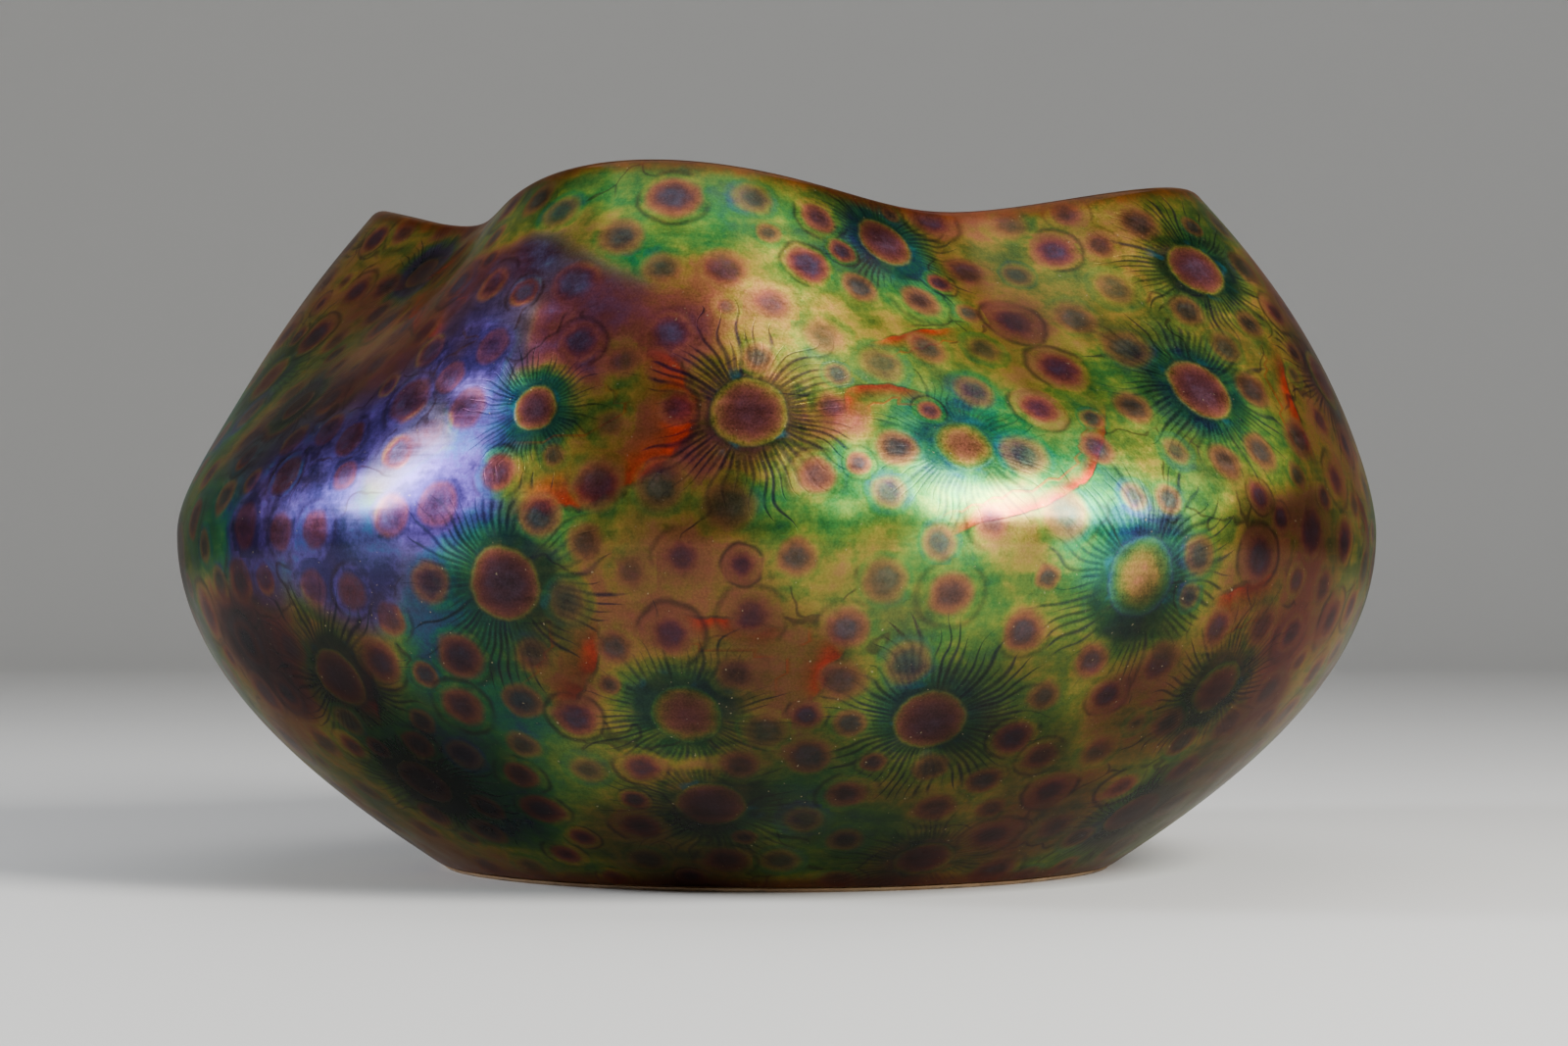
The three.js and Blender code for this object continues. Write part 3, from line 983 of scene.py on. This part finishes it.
def underside_material():
    """The glaze in the recess of the foot: brown and patchy, pooled towards the ring, with pinholes."""
    shader = Shader("underside_glaze_material")
    place = shader.position()
    x, y, z = shader.split(place)
    radius = shader.vector_math("LENGTH", shader.join(x, y, 0.0), output="Value")
    broad = shader.noise(place, 15, detail=4.0, distortion=1.0) - 0.5
    fine = shader.noise(place, 2.5, detail=3.0) - 0.5
    pool = shader.fade(FOOT_INNER_RADIUS - 12, FOOT_INNER_RADIUS - 1, radius + broad * 10)
    film = 0.62 + broad * 0.5 + fine * 0.12
    colour = shader.blend(0.6, shader.ramp(film, FILM_COLOURS), srgb("6e4824"))
    colour = shader.blend(pool * 0.65, colour, srgb("3a2414"))
    holes = shader.node("ShaderNodeTexVoronoi", "Distance", Vector=place, Scale=1 / 5, Randomness=1.0)
    hole = shader.fade(0.12, 0.07, holes)
    colour = shader.blend(hole * 0.8, colour, srgb("c2a078"))
    rings = (radius * (2 * math.pi / 6) + broad * 2.0).call("SINE")
    value = 1.0 + fine * 0.5 + rings * 0.04
    colour = shader.blend(1.0, colour, shade_colour(shader, value), "MULTIPLY")
    plug(shader.tree, colour, shader.surface.inputs["Base Color"])
    plug(shader.tree, 0.34 + fine * 0.2 + hole * 0.4, shader.surface.inputs["Roughness"])
    shader.surface.inputs["Metallic"].default_value = 0.35
    relief = fine * 0.5 + rings * 0.25 - hole * 1.0 + pool * 0.4
    plug(shader.tree, shader.bump(relief, 0.14), shader.surface.inputs["Normal"])
    return shader.material


# ---------------------------------------------------------------- pieces


def finish_piece(piece, node, material):
    piece.data.materials.append(material)
    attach(piece, "root")
    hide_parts(node)


def write_lengths(mesh, face, back):
    """Stores how far up the wall each vertex of the outer coat is, counted on over the lip."""
    up = np.linspace(0, wall_length, STEPS_FACE + 1)
    over = wall_length + np.pi * WALL / 2 * np.arange(1, STEPS_LIP + 1) / STEPS_LIP
    section = np.concatenate([np.zeros(len(back)), up, over])
    length = np.tile(section, STEPS_ROUND)
    mesh.attributes.new("up_wall", "FLOAT", "POINT").data.foreach_set("value", length)


def make_outer_glaze():
    face = np.vstack([wall_run(0, 1, 0, STEPS_FACE), lip_run(0)])
    back = np.vstack([wall_run(0, 1, GLAZE, STEPS_HIDDEN), lip_run(GLAZE)[2::3]])
    piece = coat("lustre_coat", face, back)
    write_lengths(piece.data, face, back)
    paint_outer_glaze(piece)
    finish_piece(piece, "outer_glaze", lustre_material())


def make_inner_glaze():
    top = 1 - GAP / wall_length
    face = np.vstack([wall_run(top, FLOOR_BLEND_END, WALL, 72), floor_run(WALL)])
    back = np.vstack([wall_run(top, FLOOR_BLEND_END, WALL - GLAZE, STEPS_HIDDEN), floor_run(WALL - GLAZE)[3::4]])
    back = np.vstack([back, [[0, back[-1][1]]]]) if back[-1][0] > 0 else back
    piece = coat("lining_coat", face, back)
    finish_piece(piece, "inner_glaze", lining_material())


def make_clay_body():
    seat = FOOT_SEAT_RADIUS + GAP
    start = np.array([[0, BASE_BOTTOM], [seat / 2, BASE_BOTTOM], [seat, BASE_BOTTOM], [seat, GLAZE_LINE_HEIGHT]])
    section = np.vstack([
        start,
        wall_run(0, 1, CLAY_START, 48),
        lip_run(CLAY_START),
        wall_run(1, FLOOR_BLEND_END, CLAY_END, 48)[1:],
        floor_run(CLAY_END),
    ])
    piece = lathe("clay_core", section, closed=False)
    finish_piece(piece, "clay_body", clay_material("clay_core_material", 0.0))


def make_foot_ring():
    section = np.array([
        (FOOT_INNER_RADIUS, 0),
        (FOOT_CONTACT_RADIUS, 0),
        (FOOT_SHOULDER_RADIUS, FOOT_SHOULDER_HEIGHT),
        (FOOT_SEAT_RADIUS, FOOT_SHOULDER_HEIGHT),
        (FOOT_SEAT_RADIUS, FOOT_HEIGHT),
        (FOOT_INNER_RADIUS, FOOT_HEIGHT),
    ], float)
    piece = lathe("bare_foot_ring", section, closed=True)
    finish_piece(piece, "foot_ring", clay_material("foot_clay_material", 1.0))


def make_underside_glaze():
    radius = FOOT_INNER_RADIUS - GAP
    section = np.array([
        (0, FOOT_HEIGHT - GLAZE),
        (radius / 2, FOOT_HEIGHT - GLAZE),
        (radius, FOOT_HEIGHT - GLAZE),
        (radius, FOOT_HEIGHT),
        (0, FOOT_HEIGHT),
    ], float)
    piece = lathe("underside_patch", section, closed=False)
    finish_piece(piece, "underside_glaze", underside_material())


make_camera()
make_lights()
make_stage()
make_outer_glaze()
make_inner_glaze()
make_clay_body()
make_foot_ring()
make_underside_glaze()
